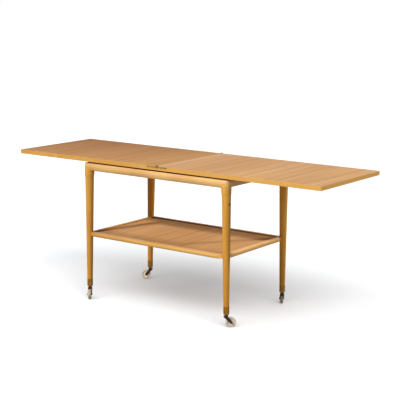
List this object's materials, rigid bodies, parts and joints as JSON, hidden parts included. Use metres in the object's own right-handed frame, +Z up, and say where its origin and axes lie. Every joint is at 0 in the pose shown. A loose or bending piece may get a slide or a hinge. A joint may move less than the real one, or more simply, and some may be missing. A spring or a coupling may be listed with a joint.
{
  "type": "folding-top serving trolley",
  "caption": "Serving trolley with a fold-over, sliding top shown open, a rail-framed lower shelf, tapered legs with brass ferrules and swivel castors.",
  "frame": {"origin": "on the floor, under the seam between the two open leaves and midway between front and back", "axes": "+X along the table towards the sliding leaf, +Y from the front to the back, +Z up"},
  "size_m": [1.5606, 0.499, 0.6367],
  "materials": {
    "veneer": "oiled teak-like veneer, satin",
    "solid_wood": "oiled solid wood, satin, golden brown",
    "runner_wood": "plain unpolished beech",
    "hinge_brass": "aged brass, dull",
    "screw_brass": "plain brass",
    "ferrule_brass": "aged brass, satin",
    "castor_brass": "darkly aged brass",
    "stem_steel": "turned steel",
    "rivet_black": "blackened steel",
    "wheel_hub": "cream moulded plastic",
    "wheel_tyre": "cream moulded plastic, worn on the tread"
  },
  "bodies": {
    "frame": {"leg_front_left": "solid_wood", "leg_front_right": "solid_wood", "leg_back_left": "solid_wood", "leg_back_right": "solid_wood", "top_rail_front": "solid_wood", "top_rail_back": "solid_wood", "end_rail_left": "solid_wood", "end_rail_right": "solid_wood", "guide_rail_front": "runner_wood", "guide_rail_back": "runner_wood", "slip_strips": "runner_wood", "shelf_rail_front": "solid_wood", "shelf_rail_back": "solid_wood", "shelf_rail_left": "solid_wood", "shelf_rail_right": "solid_wood", "shelf_panel": "veneer", "ferrule_front_left": "ferrule_brass", "ferrule_front_right": "ferrule_brass", "ferrule_back_left": "ferrule_brass", "ferrule_back_right": "ferrule_brass", "castor_sockets": "castor_brass"},
    "right_leaf": {"right_leaf_panel": "veneer", "right_leaf_lipping": "solid_wood", "runner_front": "runner_wood", "runner_back": "runner_wood", "runner_screws": "screw_brass", "right_hinge_plate_front": "hinge_brass", "right_hinge_plate_back": "hinge_brass", "hinge_pins": "hinge_brass", "right_hinge_screws": "hinge_brass"},
    "left_leaf": {"left_leaf_panel": "veneer", "left_leaf_lipping": "solid_wood", "left_hinge_plate_front": "hinge_brass", "left_hinge_plate_back": "hinge_brass", "left_hinge_screws": "hinge_brass"},
    "castor_front_left": {"horn_front_left": "castor_brass", "stem_front_left": "stem_steel", "rivet_front_left": "rivet_black", "axle_front_left": "rivet_black"},
    "wheel_front_left": {"hub_front_left": "wheel_hub", "tyre_front_left": "wheel_tyre"},
    "castor_front_right": {"horn_front_right": "castor_brass", "stem_front_right": "stem_steel", "rivet_front_right": "rivet_black", "axle_front_right": "rivet_black"},
    "wheel_front_right": {"hub_front_right": "wheel_hub", "tyre_front_right": "wheel_tyre"},
    "castor_back_left": {"horn_back_left": "castor_brass", "stem_back_left": "stem_steel", "rivet_back_left": "rivet_black", "axle_back_left": "rivet_black"},
    "wheel_back_left": {"hub_back_left": "wheel_hub", "tyre_back_left": "wheel_tyre"},
    "castor_back_right": {"horn_back_right": "castor_brass", "stem_back_right": "stem_steel", "rivet_back_right": "rivet_black", "axle_back_right": "rivet_black"},
    "wheel_back_right": {"hub_back_right": "wheel_hub", "tyre_back_right": "wheel_tyre"}
  },
  "joints": [
    {"name": "right_leaf_slide", "type": "slide", "parent": "frame", "child": "right_leaf", "axis": [1, 0, 0], "range_m": [-0.41425, 0]},
    {"name": "left_leaf_fold", "type": "hinge", "parent": "right_leaf", "child": "left_leaf", "pos_m": [0, 0, 0.6331], "axis": [0, 1, 0], "range_deg": [0, 180]},
    {"name": "castor_front_left_swivel", "type": "hinge", "parent": "frame", "child": "castor_front_left", "pos_m": [-0.391, -0.2145, 0.056], "axis": [0, 0, 1], "continuous": true},
    {"name": "wheel_front_left_roll", "type": "hinge", "parent": "castor_front_left", "child": "wheel_front_left", "pos_m": [-0.37983, -0.22987, 0.0215], "axis": [0.809, 0.5878, 0], "continuous": true},
    {"name": "castor_front_right_swivel", "type": "hinge", "parent": "frame", "child": "castor_front_right", "pos_m": [0.343, -0.2145, 0.056], "axis": [0, 0, 1], "continuous": true},
    {"name": "wheel_front_right_roll", "type": "hinge", "parent": "castor_front_right", "child": "wheel_front_right", "pos_m": [0.35571, -0.20038, 0.0215], "axis": [-0.7431, 0.6691, 0], "continuous": true},
    {"name": "castor_back_left_swivel", "type": "hinge", "parent": "frame", "child": "castor_back_left", "pos_m": [-0.391, 0.2145, 0.056], "axis": [0, 0, 1], "continuous": true},
    {"name": "wheel_back_left_roll", "type": "hinge", "parent": "castor_back_left", "child": "wheel_back_left", "pos_m": [-0.40637, 0.20333, 0.0215], "axis": [0.5878, -0.809, 0], "continuous": true},
    {"name": "castor_back_right_swivel", "type": "hinge", "parent": "frame", "child": "castor_back_right", "pos_m": [0.343, 0.2145, 0.056], "axis": [0, 0, 1], "continuous": true},
    {"name": "wheel_back_right_roll", "type": "hinge", "parent": "castor_back_right", "child": "wheel_back_right", "pos_m": [0.33183, 0.22987, 0.0215], "axis": [-0.809, -0.5878, 0], "continuous": true}
  ]
}
